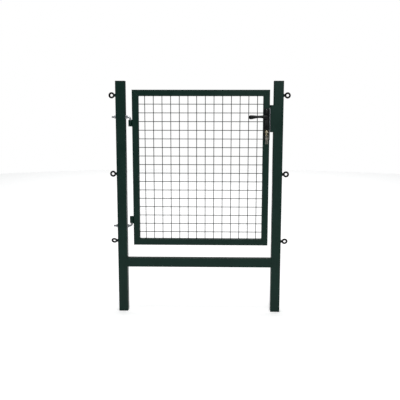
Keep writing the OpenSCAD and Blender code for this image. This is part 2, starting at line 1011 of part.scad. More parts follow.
module key() {
    tip_y = -plate_face - cyl_proud + blade_len;
    color(zinc)
        translate([spindle_x, 0, cyl_z]) {
            translate([key_t / 2, -bow_y, 0])
                rotate([90, 0, -90])
                    linear_extrude(key_t)
                        key_bow();
            translate([-key_t / 2, -bow_y + bow_d / 2 - 2, -blade_h / 2])
                cube([key_t, tip_y + bow_y - bow_d / 2 + 2, blade_h]);
        }
}

module cylinder_plug() {
    color(brassy)
        translate([spindle_x, 0, cyl_z])
            difference() {
                rod_y(-plate_face - cyl_proud, -cam_gap, plug_r);
                translate([-keyway_w / 2, -through - cam_gap - 2, -keyway_h / 2])
                    cube([keyway_w, through, keyway_h]);
            }
}

module cam() {
    color(zinc)
        translate([spindle_x, 0, cyl_z])
            rotate([0, -cam_angle, 0])
                slab(-cam_t / 2, cam_t / 2) {
                    circle(r = cyl_r - 1);
                    translate([-cam_lobe_w / 2, 0])
                        square([cam_lobe_w, cam_r - cam_lobe_w / 2]);
                    translate([0, cam_r - cam_lobe_w / 2])
                        circle(d = cam_lobe_w);
                }
}

module key_ring() {
    color(zinc)
        translate([spindle_x, -hole_y, ring_z])
            rotate([90, 0, 0])
                rotate_extrude()
                    translate([ring_d / 2, 0])
                        circle(d = ring_wire);
}

// A key hanging by its hole from the origin
module hanging_key(twist) {
    rotate([0, 0, twist])
        translate([-key_t / 2, 0, -hole_r + ring_wire / 2 + spare_gap])
            rotate([90, 0, 90])
                linear_extrude(key_t) {
                    rotate([0, 0, 90])
                        translate([hole_in - bow_d / 2, 0])
                            key_bow();
                    translate([-blade_h / 2, -key_len])
                        square([blade_h, key_len - bow_d + hole_in + 1]);
                }
}

module spare_keys() {
    color(zinc)
        for (side = [-1, 1])
            translate([
                spindle_x + side * ring_d / 2 * sin(spare_spread),
                -hole_y,
                ring_z - ring_d / 2 * cos(spare_spread)
            ])
                hanging_key(key_twist);
}

// Keep and strike

module keep() {
    front_y = -post_w / 2;
    back_y = frame_y + tab_gap + keep_t;
    slot_x0 = keep_x0 - 1;
    slot_x1 = keep_x0 + keep_t + 1;
    color(green)
        difference() {
            union() {
                translate([keep_x0, front_y - keep_t, keep_z0])
                    cube([post_in - keep_x0 + keep_lap, keep_t, keep_h]);
                translate([keep_x0, front_y - eps, keep_z0])
                    cube([keep_t, back_y - front_y + eps, keep_h]);
                translate([leaf_x1 - tab_over, back_y - keep_t, keep_z1 - tab_h])
                    cube([keep_x0 + keep_t - leaf_x1 + tab_over, keep_t, tab_h]);
                for (z = [keep_z0, keep_z1 - keep_t])
                    translate([keep_x0, front_y - eps, z])
                        cube([post_in - keep_x0, back_y - front_y + eps, keep_t]);
            }
            bolt_window(latch_z, latch_w, latch_h, 3 * slot_clear, slot_x0, slot_x1);
            bolt_window(dead_z, dead_w, dead_h, 3 * slot_clear, slot_x0, slot_x1);
            for (z = strike_screws_z)
                translate([0, 0, z])
                    rod_x(slot_x0, slot_x1 + keep_t, screw_d / 2 + thread_clear);
        }
}

module strike_plate() {
    strike_x0 = keep_x0 - strike_t;
    color(zinc)
        difference() {
            translate([strike_x0, 0, (strike_z0 + strike_z1) / 2])
                rotate([90, 0, 90])
                    linear_extrude(strike_t)
                        round_rect(strike_w, strike_z1 - strike_z0, forend_r);
            bolt_window(latch_z, latch_w, latch_h, slot_clear, strike_x0 - 1, keep_x0 + 1);
            bolt_window(dead_z, dead_w, dead_h, slot_clear, strike_x0 - 1, keep_x0 + 1);
            for (z = strike_screws_z)
                translate([0, 0, z])
                    rod_x(strike_x0 - 1, keep_x0 + 1, screw_d / 2 + thread_clear);
        }
}

module strike_screws() {
    color(zinc)
        for (z = strike_screws_z)
            translate([0, 0, z]) {
                rod_x(keep_x0 - strike_t, keep_x0 + strike_screw_len, screw_d / 2);
                rod_x(keep_x0 - strike_t - strike_head_t, keep_x0 - strike_t, screw_head / 2);
            }
}

hinge_post();
latch_post();
sill_rail();
post_caps();
eye_upper_left();
eye_middle_left();
eye_lower_left();
eye_upper_right();
eye_middle_right();
eye_lower_right();
eye_nuts();
eye_inserts();
hinge_bolt_upper();
hinge_bolt_lower();
hinge_nuts();
hinge_washers();
bearing_washer();
keep();
strike_plate();
strike_screws();
hinge_stile();
latch_stile();
top_rail();
bottom_rail();
mesh_vertical_wires();
mesh_horizontal_wires();
hinge_sleeve_upper();
hinge_sleeve_lower();
lock_case();
lock_cover();
lock_forend();
forend_screws();
front_plate();
back_plate();
plate_screws();
cylinder_body();
rear_plug();
cylinder_screw();
latch_spring();
lever_front();
lever_back();
spindle();
follower_hub();
lever_set_screws();
latch_bolt();
dead_bolt();
key();
cylinder_plug();
cam();
key_ring();
spare_keys();
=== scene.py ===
import math
import bmesh
import bpy
import random
from mathutils import Matrix, Vector


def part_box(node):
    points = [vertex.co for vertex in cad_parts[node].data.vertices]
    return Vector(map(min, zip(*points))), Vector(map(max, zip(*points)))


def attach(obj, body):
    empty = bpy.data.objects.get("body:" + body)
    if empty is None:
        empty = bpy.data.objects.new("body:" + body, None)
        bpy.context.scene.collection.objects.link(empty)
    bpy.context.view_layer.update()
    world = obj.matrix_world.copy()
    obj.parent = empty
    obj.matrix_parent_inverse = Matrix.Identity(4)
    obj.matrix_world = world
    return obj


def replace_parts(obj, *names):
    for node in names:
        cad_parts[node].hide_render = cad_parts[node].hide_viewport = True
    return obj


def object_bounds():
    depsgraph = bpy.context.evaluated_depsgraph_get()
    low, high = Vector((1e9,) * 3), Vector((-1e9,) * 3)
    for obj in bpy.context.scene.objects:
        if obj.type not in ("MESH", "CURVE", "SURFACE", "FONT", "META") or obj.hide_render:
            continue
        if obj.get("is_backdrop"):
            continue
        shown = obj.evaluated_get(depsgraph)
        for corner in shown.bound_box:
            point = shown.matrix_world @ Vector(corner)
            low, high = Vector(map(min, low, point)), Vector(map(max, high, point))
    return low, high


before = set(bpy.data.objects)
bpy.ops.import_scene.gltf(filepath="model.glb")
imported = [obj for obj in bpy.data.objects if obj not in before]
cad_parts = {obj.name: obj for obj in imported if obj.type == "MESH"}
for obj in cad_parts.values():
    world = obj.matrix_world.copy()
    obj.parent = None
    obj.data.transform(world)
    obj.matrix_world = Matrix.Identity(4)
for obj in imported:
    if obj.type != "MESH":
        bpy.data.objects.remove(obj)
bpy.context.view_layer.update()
MM = 0.001


# ---- Camera, floor and light ----
# The gate stands on a plain pale floor in soft studio light. The camera looks at it
# from the front, a little above it and a little to the right of its middle.

view_camera = bpy.data.cameras.new("view_camera")
view_camera.lens = 55.6
view_camera.sensor_width = 36
view_camera.clip_end = 60
camera = bpy.data.objects.new("view_camera", view_camera)
camera.location = (0.0959, -3.9606, 1.3475)
camera.rotation_euler = (1.418796, -0.000988, 0.023151)
bpy.context.scene.collection.objects.link(camera)
bpy.context.scene.camera = camera

floor_mesh = bmesh.new()
bmesh.ops.create_circle(floor_mesh, cap_ends=True, segments=96, radius=9)
floor_data = bpy.data.meshes.new("floor")
floor_mesh.to_mesh(floor_data)
floor = bpy.data.objects.new("floor", floor_data)
floor.location = (0, 0.2, -0.2 * MM)
bpy.context.scene.collection.objects.link(floor)
floor_paint = bpy.data.materials.new("pale_floor")
floor_paint.use_nodes = True
floor_tree = floor_paint.node_tree
floor_shader = floor_tree.nodes["Principled BSDF"]
floor_shader.inputs["Base Color"].default_value = (0.88, 0.88, 0.88, 1)
floor_shader.inputs["Roughness"].default_value = 0.9
floor_shader.inputs["Emission Color"].default_value = (1, 1, 1, 1)

# The floor glows more to the camera than to the gate, so it reads pale and leaves the coat dark
floor_seen = floor_tree.nodes.new("ShaderNodeLightPath")
floor_glow = floor_tree.nodes.new("ShaderNodeMath")
floor_glow.operation = "MULTIPLY_ADD"
floor_glow.inputs[1].default_value = 0.28
floor_glow.inputs[2].default_value = 0.19
floor_tree.links.new(floor_seen.outputs["Is Camera Ray"], floor_glow.inputs[0])
floor_tree.links.new(floor_glow.outputs["Value"], floor_shader.inputs["Emission Strength"])
floor_data.materials.append(floor_paint)
floor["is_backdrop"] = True

studio = bpy.data.worlds.new("studio")
studio.use_nodes = True
bpy.context.scene.world = studio
sky_tree = studio.node_tree
sky = sky_tree.nodes["Background"]
sky.inputs["Color"].default_value = (0.90, 0.96, 1.0, 1)
sky.inputs["Strength"].default_value = 0.07
backdrop = sky_tree.nodes.new("ShaderNodeBackground")
backdrop.inputs["Color"].default_value = (1.0, 1.0, 1.0, 1)
backdrop.inputs["Strength"].default_value = 1.0
sky_seen = sky_tree.nodes.new("ShaderNodeLightPath")
shown_sky = sky_tree.nodes.new("ShaderNodeMixShader")
sky_tree.links.new(sky_seen.outputs["Is Camera Ray"], shown_sky.inputs[0])
sky_tree.links.new(sky.outputs["Background"], shown_sky.inputs[1])
sky_tree.links.new(backdrop.outputs["Background"], shown_sky.inputs[2])
sky_tree.links.new(shown_sky.outputs["Shader"], sky_tree.nodes["World Output"].inputs["Surface"])
bpy.context.scene.view_settings.view_transform = "Standard"


def soft_light(name, place, aim, width, height, watts, colour):
    """A rectangular lamp at a place, aimed at a point."""
    lamp = bpy.data.lights.new(name, "AREA")
    lamp.shape = "RECTANGLE"
    lamp.size = width
    lamp.size_y = height
    lamp.energy = watts
    lamp.color = colour
    holder = bpy.data.objects.new(name, lamp)
    holder.location = place
    holder.rotation_euler = (Vector(aim) - Vector(place)).to_track_quat("-Z", "Y").to_euler()
    bpy.context.scene.collection.objects.link(holder)


soft_light("overhead", (0, -0.1, 5.2), (0, -0.1, 0), 3.0, 3.0, 130, (1.0, 1.0, 1.0))
soft_light("rear_overhead", (0, 6.5, 5.0), (0, 6.5, 0), 10.0, 8.0, 300, (1.0, 1.0, 1.0))
soft_light("front_window", (1.2, -5.4, 3.6), (0, 0, 0.8), 2.4, 1.8, 92, (1.0, 0.99, 0.97))
soft_light("near_window", (0.86, -4.5, 1.62), (0.45, 0, 1.35), 0.3, 0.45, 1.2, (0.86, 0.94, 1.0))


# ---- Posts and sill ----
# Square steel tube with round corners, cut to length, welded where the sill meets the
# posts, then powder coated dark green in one piece. The coat has a fine orange peel.


def shader_group(name, inputs, outputs):
    """A node group with named sockets: its tree, its input node and its output node."""
    tree = bpy.data.node_groups.new(name, "ShaderNodeTree")
    for label, kind, value in inputs:
        socket = tree.interface.new_socket(name=label, in_out="INPUT", socket_type=kind)
        socket.default_value = value
    for label, kind in outputs:
        tree.interface.new_socket(name=label, in_out="OUTPUT", socket_type=kind)
    return tree, tree.nodes.new("NodeGroupInput"), tree.nodes.new("NodeGroupOutput")


def ranged(tree, value, low, high, to_low, to_high):
    """The value's share between low and high, spread between two others."""
    node = tree.nodes.new("ShaderNodeMapRange")
    node.inputs["From Min"].default_value = low
    node.inputs["From Max"].default_value = high
    node.inputs["To Min"].default_value = to_low
    node.inputs["To Max"].default_value = to_high
    tree.links.new(value, node.inputs["Value"])
    return node.outputs["Result"]


def worked_out(tree, operation, first, second):
    """One sum of two values, each a socket or a number."""
    node = tree.nodes.new("ShaderNodeMath")
    node.operation = operation
    for socket, term in zip(node.inputs, (first, second)):
        if isinstance(term, (int, float)):
            socket.default_value = term
        else:
            tree.links.new(term, socket)
    return node.outputs["Value"]


def noise(tree, scale, detail=3.0, stretch=(1, 1, 1)):
    """Noise laid in the piece's own space. The scale is per metre, a number or a socket."""
    place = tree.nodes.new("ShaderNodeTexCoord")
    laid = tree.nodes.new("ShaderNodeMapping")
    laid.inputs["Scale"].default_value = stretch
    tree.links.new(place.outputs["Object"], laid.inputs["Vector"])
    grain = tree.nodes.new("ShaderNodeTexNoise")
    grain.inputs["Detail"].default_value = detail
    tree.links.new(laid.outputs["Vector"], grain.inputs["Vector"])
    if isinstance(scale, (int, float)):
        grain.inputs["Scale"].default_value = scale
    else:
        tree.links.new(scale, grain.inputs["Scale"])
    return grain.outputs["Fac"]


# Two tones of one colour in soft patches
two_tone, tone_in, tone_out = shader_group(
    "two_tone",
    [("Colour", "NodeSocketColor", (0.5, 0.5, 0.5, 1)),
     ("Second Colour", "NodeSocketColor", (0.4, 0.4, 0.4, 1)),
     ("Patches per metre", "NodeSocketFloat", 20.0)],
    [("Colour", "NodeSocketColor"), ("Patch", "NodeSocketFloat")])
tone_patch = ranged(two_tone, noise(two_tone, tone_in.outputs["Patches per metre"], 4.0), 0.38, 0.62, 0, 1)
tone_mix = two_tone.nodes.new("ShaderNodeMix")
tone_mix.data_type = "RGBA"
two_tone.links.new(tone_patch, tone_mix.inputs[0])
two_tone.links.new(tone_in.outputs["Colour"], tone_mix.inputs[6])
two_tone.links.new(tone_in.outputs["Second Colour"], tone_mix.inputs[7])
two_tone.links.new(tone_mix.outputs[2], tone_out.inputs["Colour"])
two_tone.links.new(tone_patch, tone_out.inputs["Patch"])

# The height of a fine skin: broad lumps with a fine grain on them
fine_skin, skin_in, skin_out = shader_group(
    "fine_skin",
    [("Lumps per metre", "NodeSocketFloat", 400.0), ("Grains per metre", "NodeSocketFloat", 2500.0),
     ("Grain", "NodeSocketFloat", 0.3)],
    [("Height", "NodeSocketFloat")])
skin_grains = noise(fine_skin, skin_in.outputs["Grains per metre"], 1.0)
skin_grain = worked_out(fine_skin, "MULTIPLY", skin_grains, skin_in.outputs["Grain"])
skin_lumps = noise(fine_skin, skin_in.outputs["Lumps per metre"], 2.0)
fine_skin.links.new(worked_out(fine_skin, "ADD", skin_lumps, skin_grain), skin_out.inputs["Height"])

# Worn edges, lightened also as a painted highlight that stands for the glint on them: the bevelled normal
# leaves the face's own normal there
edge_wear_and_glint, wear_glint_in, wear_glint_out = shader_group(
    "edge_wear_and_glint",
    [("Amount", "NodeSocketFloat", 0.5), ("Breaks per metre", "NodeSocketFloat", 120.0)],
    [("Mask", "NodeSocketFloat")])
wear_glint_bevel = edge_wear_and_glint.nodes.new("ShaderNodeBevel")
wear_glint_bevel.samples = 4
wear_glint_bevel.inputs["Radius"].default_value = 0.9 * MM
wear_glint_face = edge_wear_and_glint.nodes.new("ShaderNodeNewGeometry")
wear_glint_dot = edge_wear_and_glint.nodes.new("ShaderNodeVectorMath")
wear_glint_dot.operation = "DOT_PRODUCT"
edge_wear_and_glint.links.new(wear_glint_bevel.outputs["Normal"], wear_glint_dot.inputs[0])
edge_wear_and_glint.links.new(wear_glint_face.outputs["Normal"], wear_glint_dot.inputs[1])
wear_glint_edge = ranged(edge_wear_and_glint, wear_glint_dot.outputs["Value"], 0.995, 0.90, 0, 1)
wear_glint_breaks = ranged(edge_wear_and_glint, noise(edge_wear_and_glint, wear_glint_in.outputs["Breaks per metre"], 4.0), 0.42, 0.62, 0, 1)
wear_glint_some = worked_out(edge_wear_and_glint, "MULTIPLY", wear_glint_edge, wear_glint_breaks)
wear_glint_all = worked_out(edge_wear_and_glint, "MULTIPLY", wear_glint_some, wear_glint_in.outputs["Amount"])
edge_wear_and_glint.links.new(wear_glint_all, wear_glint_out.inputs["Mask"])

# Dust that settles on faces that look up, thicker in patches
settled_dust, dust_in, dust_out = shader_group(
    "settled_dust", [("Amount", "NodeSocketFloat", 0.3)], [("Mask", "NodeSocketFloat")])
dust_face = settled_dust.nodes.new("ShaderNodeNewGeometry")
dust_split = settled_dust.nodes.new("ShaderNodeSeparateXYZ")
settled_dust.links.new(dust_face.outputs["Normal"], dust_split.inputs["Vector"])
dust_up = ranged(settled_dust, dust_split.outputs["Z"], 0.35, 1.0, 0, 1)
dust_patch = ranged(settled_dust, noise(settled_dust, 60.0, 5.0), 0.35, 0.7, 0.25, 1)
dust_some = worked_out(settled_dust, "MULTIPLY", dust_up, dust_patch)
dust_all = worked_out(settled_dust, "MULTIPLY", dust_some, dust_in.outputs["Amount"])
settled_dust.links.new(dust_all, dust_out.inputs["Mask"])


def group_in(tree, group, **values):
    """The group placed in a material, with its own values."""
    node = tree.nodes.new("ShaderNodeGroup")
    node.node_tree = group
    for label, value in values.items():
        node.inputs[label.replace("_", " ")].default_value = value
    return node


def blended(tree, share, first, second):
    """Two colours mixed by a share. Each colour is a socket or four numbers."""
    node = tree.nodes.new("ShaderNodeMix")
    node.data_type = "RGBA"
    tree.links.new(share, node.inputs[0])
    for index, colour in ((6, first), (7, second)):
        if isinstance(colour, tuple):
            node.inputs[index].default_value = colour
        else:
            tree.links.new(colour, node.inputs[index])
    return node.outputs[2]


DUST_COLOUR = (0.30, 0.28, 0.24, 1)


def finish_material(name, colour, second, patches, metal, rough, rough_patch, skin, depth, wear_and_glint_amount, dust,
                    mirror=0.5, wear_and_glint_colour=None):
    """A material from the shared groups. The skin is lumps and grains per metre, its depth in metres."""
    paint = bpy.data.materials.new(name)
    paint.use_nodes = True
    tree = paint.node_tree
    shader = tree.nodes["Principled BSDF"]
    tone = group_in(tree, two_tone, Colour=colour, Second_Colour=second, Patches_per_metre=patches)
    wear_and_glint = group_in(tree, edge_wear_and_glint, Amount=wear_and_glint_amount)
    dusty = group_in(tree, settled_dust, Amount=dust)
    # Edges go towards the lighter edge colour: partly worn coat, partly a painted highlight for the glint on
    # the edges
    worn_and_glinting = blended(tree, wear_and_glint.outputs["Mask"], tone.outputs["Colour"], wear_and_glint_colour or second)
    tree.links.new(blended(tree, dusty.outputs["Mask"], worn_and_glinting, DUST_COLOUR), shader.inputs["Base Color"])
    gloss = ranged(tree, tone.outputs["Patch"], 0, 1, rough, rough_patch)
    dulled = worked_out(tree, "ADD", gloss, worked_out(tree, "MULTIPLY", dusty.outputs["Mask"], 0.5))
    tree.links.new(dulled, shader.inputs["Roughness"])
    shader.inputs["Metallic"].default_value = metal
    shader.inputs["Specular IOR Level"].default_value = mirror
    bump = tree.nodes.new("ShaderNodeBump")
    bump.inputs["Distance"].default_value = depth
    bump.inputs["Strength"].default_value = 0.6
    lumps = group_in(tree, fine_skin, Lumps_per_metre=skin[0], Grains_per_metre=skin[1])
    tree.links.new(lumps.outputs["Height"], bump.inputs["Height"])
    tree.links.new(bump.outputs["Normal"], shader.inputs["Normal"])
    return paint


green_coat = finish_material(
    "green_powder_coat", (0.0045, 0.027, 0.0195, 1), (0.0060, 0.032, 0.0235, 1), 9, 0.0, 0.34, 0.42,
    (420.0, 2600.0), 0.05 * MM, 0.25, 0.06, mirror=0.2, wear_and_glint_colour=(0.012, 0.036, 0.03, 1))


def dress(node, material, rounding=0.0):
    """Gives a CAD node its finish, and softly rounded edges with hardened normals when a rounding is given.
    """
    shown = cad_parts[node]
    shown.data.materials.clear()
    shown.data.materials.append(material)
    if rounding:
        weld = shown.modifiers.new("joined_faces", "WELD")
        weld.merge_threshold = 0.001 * MM
        edge = shown.modifiers.new("rounded_edges", "BEVEL")
        edge.width = rounding
        edge.segments = 3
        edge.limit_method = "ANGLE"
        edge.angle_limit = math.radians(35)
        edge.harden_normals = True


def piece(name, bm, body, material, sharp=35.0):
    """A finished mesh piece that rides on a body."""
    bmesh.ops.recalc_face_normals(bm, faces=bm.faces)
    data = bpy.data.meshes.new(name)
    bm.to_mesh(data)
    bm.free()
    data.shade_smooth()
    data.set_sharp_from_angle(angle=math.radians(sharp))
    data.materials.append(material)
    made = bpy.data.objects.new(name, data)
    bpy.context.scene.collection.objects.link(made)
    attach(made, body)
    return made


def skin_over(bm, rings, capped=True, closed=False):
    """Quads between rings that have the same number of points."""
    rows = [[bm.verts.new(point) for point in ring] for ring in rings]
    count = len(rows[0])
    pairs = list(zip(rows, rows[1:]))
    if closed:
        pairs.append((rows[-1], rows[0]))
    for first, second in pairs:
        for k in range(count):
            j = (k + 1) % count
            bm.faces.new((first[k], first[j], second[j], second[k]))
    if capped and not closed:
        bm.faces.new(rows[0][::-1])
        bm.faces.new(rows[-1])


def weld_bead(bm, start, end, out, width, height, ripple=2.2 * MM, seed=1):
    """A rippled bead laid from start to end. Out is the way the bead's crown faces."""
    start, end, out = Vector(start), Vector(end), Vector(out).normalized()
    along = (end - start).normalized()
    side = along.cross(out)
    length = (end - start).length
    steps = max(6, int(length / (ripple / 4)))
    dice = random.Random(seed)
    wander = [dice.uniform(-1, 1) for _ in range(steps + 1)]
    rings = []
    for n in range(steps + 1):
        s = n / steps
        wave = 1 - ((s * length / ripple) % 1.0) * 0.22
        taper = min(1.0, 0.35 + 6 * min(s, 1 - s))
        w = width / 2 * wave * taper * (1 + 0.05 * wander[n])
        h = height * wave * taper
        middle = start.lerp(end, s)
        rings.append([
            middle + side * w * math.cos(a) + out * h * math.sin(a)
            for a in (2 * math.pi * k / 12 for k in range(12))])
    skin_over(bm, rings)


for post in ("hinge_post", "latch_post"):
    dress(post, green_coat)
dress("sill_rail", green_coat)

BEAD = 6 * MM
BEAD_CROWN = 2.2 * MM
GROUND_BEAD = 5 * MM
sill_low, sill_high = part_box("sill_rail")
sill_welds = bmesh.new()
front, back = sill_low.y, sill_high.y
foot, head = sill_low.z + 2 * MM, sill_high.z - 2 * MM
for x, inward in ((sill_low.x, 1), (sill_high.x, -1)):
    for z, up in ((sill_low.z, -1), (sill_high.z, 1)):
        weld_bead(sill_welds, (x, front + 3 * MM, z), (x, back, z), (inward, 0, up), BEAD, BEAD_CROWN, seed=3)
    weld_bead(sill_welds, (x, back, foot), (x, back, head), (inward, 1, 0), BEAD, BEAD_CROWN, seed=4)
    weld_bead(sill_welds, (x, front, foot), (x, front, head), (0, -1, 0), GROUND_BEAD, 0.7 * MM, seed=5)
piece("sill_welds", sill_welds, "portal", green_coat)


# ---- Post caps ----
# Moulded plastic plugs pushed into the tops of the posts, with a fine matt texture.

cap_plastic = finish_material(
    "moulded_cap_plastic", (0.012, 0.022, 0.018, 1), (0.016, 0.027, 0.023, 1), 30, 0.0, 0.48, 0.56,
    (1400.0, 5000.0), 0.04 * MM, 0.15, 0.08, mirror=0.3)
dress("post_caps", cap_plastic, 1.0 * MM)


# ---- Eyes for the fence wires ----
# Forged eye bolts, black coated, screwed into threaded inserts in the posts' outer
# walls and held with a thin nut each. The lowest two are turned a little.

eye_black = finish_material(
    "black_coated_forging", (0.0040, 0.0045, 0.0048, 1), (0.0065, 0.0070, 0.0075, 1), 60, 0.0, 0.40, 0.50,
    (900.0, 3500.0), 0.06 * MM, 0.3, 0.05, mirror=0.15, wear_and_glint_colour=(0.03, 0.03, 0.03, 1))
EYE_RING = 14 * MM
EYE_STOCK = 6 * MM
EYE_FLATTENED = 0.94
SHANK_END = 50 * MM
SHANK_R = 5.95 * MM
NECK_R = 6.6 * MM


def ring_section(a):
    """The ring's section at an angle round it: round, and a little flattened front to back."""
    section = []
    for k in range(20):
        b = 2 * math.pi * k / 20
        out = EYE_RING + EYE_STOCK * math.cos(b)
        depth = EYE_FLATTENED * EYE_STOCK * math.sin(b)
        section.append(Vector((math.cos(a) * out, depth, math.sin(a) * out)))
    return section


def shank_section(x, r):
    """A round section of the shank at a distance from the ring's middle."""
    turns = [2 * math.pi * k / 20 for k in range(20)]
    return [Vector((x, r * math.cos(a), r * math.sin(a))) for a in turns]


eye_shape = bmesh.new()
skin_over(eye_shape, [ring_section(2 * math.pi * n / 56) for n in range(56)], closed=True)
skin_over(eye_shape, [
    shank_section(-SHANK_END, 5.3 * MM), shank_section(-SHANK_END + 1 * MM, SHANK_R),
    shank_section(-23 * MM, SHANK_R), shank_section(-18 * MM, NECK_R), shank_section(-13 * MM, NECK_R)])
eye_data = bpy.data.meshes.new("forged_eye")
eye_shape.to_mesh(eye_data)
eye_shape.free()
eye_blank = bpy.data.objects.new("forged_eye", eye_data)
bpy.context.scene.collection.objects.link(eye_blank)
forged = eye_blank.modifiers.new("one_forging", "REMESH")
forged.mode = "VOXEL"
forged.voxel_size = 0.75 * MM
softened = eye_blank.modifiers.new("softened", "SMOOTH")
softened.iterations = 6
bpy.context.view_layer.update()
eye_forging = bpy.data.meshes.new_from_object(eye_blank.evaluated_get(bpy.context.evaluated_depsgraph_get()))
bpy.data.objects.remove(eye_blank)
eye_forging.shade_smooth()
eye_forging.materials.clear()
eye_forging.materials.append(eye_black)

for height, left_turn, right_turn in (("upper", 0, 0), ("middle", 0, 0), ("lower", 32, 18)):
    for hand, turn in (("left", left_turn), ("right", right_turn)):
        node = f"eye_{height}_{hand}"
        low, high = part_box(node)
        eye = bpy.data.objects.new(f"{node}_forging", eye_forging)
        bpy.context.scene.collection.objects.link(eye)
        if hand == "left":
            centre = Vector((low.x + EYE_RING + EYE_STOCK, 0, (low.z + high.z) / 2))
            hand_turn = Matrix.Rotation(math.pi, 4, "Z")
        else:
            centre = Vector((high.x - EYE_RING - EYE_STOCK, 0, (low.z + high.z) / 2))
            hand_turn = Matrix.Identity(4)
        screwed = Matrix.Rotation(math.radians(turn), 4, "X")
        eye.matrix_world = Matrix.Translation(centre) @ screwed @ hand_turn
        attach(eye, "portal")
        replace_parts(eye, node)


# A nut's outline from the middle of its bore round to it again: the share of its height, and where
NUT_PROFILE = [
    (0.5, "bore"), (0.12, "bore"), (0.0, "sink"), (0.0, "face"), (0.0, "corner"),
    (1.0, "corner"), (1.0, "face"), (1.0, "sink"), (0.88, "bore")]


def hex_nut(bm, x0, x1, centre_z, flats, bore):
    """A hexagon nut along X with chamfered corners and a countersunk bore."""
    count = 72
    face = flats / 2 * 0.96
    t = x1 - x0
    rings = []
    for share, kind in NUT_PROFILE:
        ring = []
        for k in range(count):
            a = 2 * math.pi * k / count
            off = (a + math.pi / 6) % (math.pi / 3) - math.pi / 6
            hexagon = flats / 2 / math.cos(off)
            r = {"bore": bore, "sink": bore * 1.1, "face": face, "corner": hexagon}[kind]
            drop = (hexagon - face) * 0.55 if kind == "corner" else 0.0
            x = x0 + share * t + (drop if share == 0 else -drop if share == 1 else 0)
            ring.append(Vector((x, r * math.sin(a), centre_z + r * math.cos(a))))
        rings.append(ring)
    skin_over(bm, rings, closed=True)


NUT_FLATS = 19 * MM
EYE_NUT_T = 6 * MM
EYE_NUT_BORE = 6.02 * MM
eye_nut_low, eye_nut_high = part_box("eye_nuts")
for_eyes = bmesh.new()
for height in ("upper", "middle", "lower"):
    low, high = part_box(f"eye_{height}_right")
    z = (low.z + high.z) / 2
    hex_nut(for_eyes, eye_nut_high.x - EYE_NUT_T, eye_nut_high.x, z, NUT_FLATS, EYE_NUT_BORE)
    hex_nut(for_eyes, eye_nut_low.x, eye_nut_low.x + EYE_NUT_T, z, NUT_FLATS, EYE_NUT_BORE)
eye_nut_set = piece("eye_nut_set", for_eyes, "portal", eye_black)
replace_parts(eye_nut_set, "eye_nuts")


# ---- Hinges ----
# Zinc-plated hook bolts pass through the hinge post and are held by a nut and washer on
# each side, which set the gap. Sleeves welded to the leaf turn on their upright pins.

zinc_plate = finish_material(
    "bright_zinc_plate", (0.46, 0.48, 0.50, 1), (0.38, 0.40, 0.43, 1), 220, 1.0, 0.30, 0.42,
    (1800.0, 6000.0), 0.015 * MM, 0.5, 0.06, wear_and_glint_colour=(0.62, 0.63, 0.64, 1))


def round_rod(bm, path, radius, count=32):
    """A round rod along a path. The radius is a number, or worked out from length and angle."""
    side = None
    distance = 0.0
    rings = []
    for n, point in enumerate(path):
        ahead = path[min(n + 1, len(path) - 1)]
        behind = path[max(n - 1, 0)]
        along = (ahead - behind).normalized()
        if side is None:
            side = along.orthogonal().normalized()
        side = (side - along * side.dot(along)).normalized()
        up = along.cross(side)
        if n:
            distance += (point - behind).length
        ring = []
        for k in range(count):
            a = 2 * math.pi * k / count
            r = radius(distance, a) if callable(radius) else radius
            ring.append(point + side * r * math.cos(a) + up * r * math.sin(a))
        rings.append(ring)
    skin_over(bm, rings)


def turned(bm, profile, centre, axis, count=48):
    """A turned piece: the profile is a list of places along the axis and radii."""
    axis = Vector(axis)
    side = axis.orthogonal().normalized()
    up = axis.cross(side)
    skin_over(bm, [
        [Vector(centre) + axis * x + side * r * math.cos(a) + up * r * math.sin(a)
         for a in (2 * math.pi * k / count for k in range(count))]
        for x, r in profile])


ROD = 6 * MM
ROD_BEND = 16 * MM
THREAD_PITCH = 1.75 * MM
THREAD_DEPTH = 0.55 * MM
THREAD_LENGTH = 92 * MM
THREAD_LEAD_IN = 0.8 * MM
SLEEVE_R = 13 * MM
COLLAR_R = 10.5 * MM
COLLAR_T = 3 * MM
ROD_NUT_T = 10 * MM
ROD_NUT_BORE = 6.05 * MM


def rod_radius(distance, angle):
    """The rod's radius: a thread with a lead-in at its end, then the plain rod."""
    if distance < THREAD_LEAD_IN:
        return ROD - THREAD_LEAD_IN + distance
    if distance > THREAD_LENGTH:
        return ROD
    turn = (distance / THREAD_PITCH - angle / (2 * math.pi)) % 1.0
    return ROD - THREAD_DEPTH * abs(2 * turn - 1)


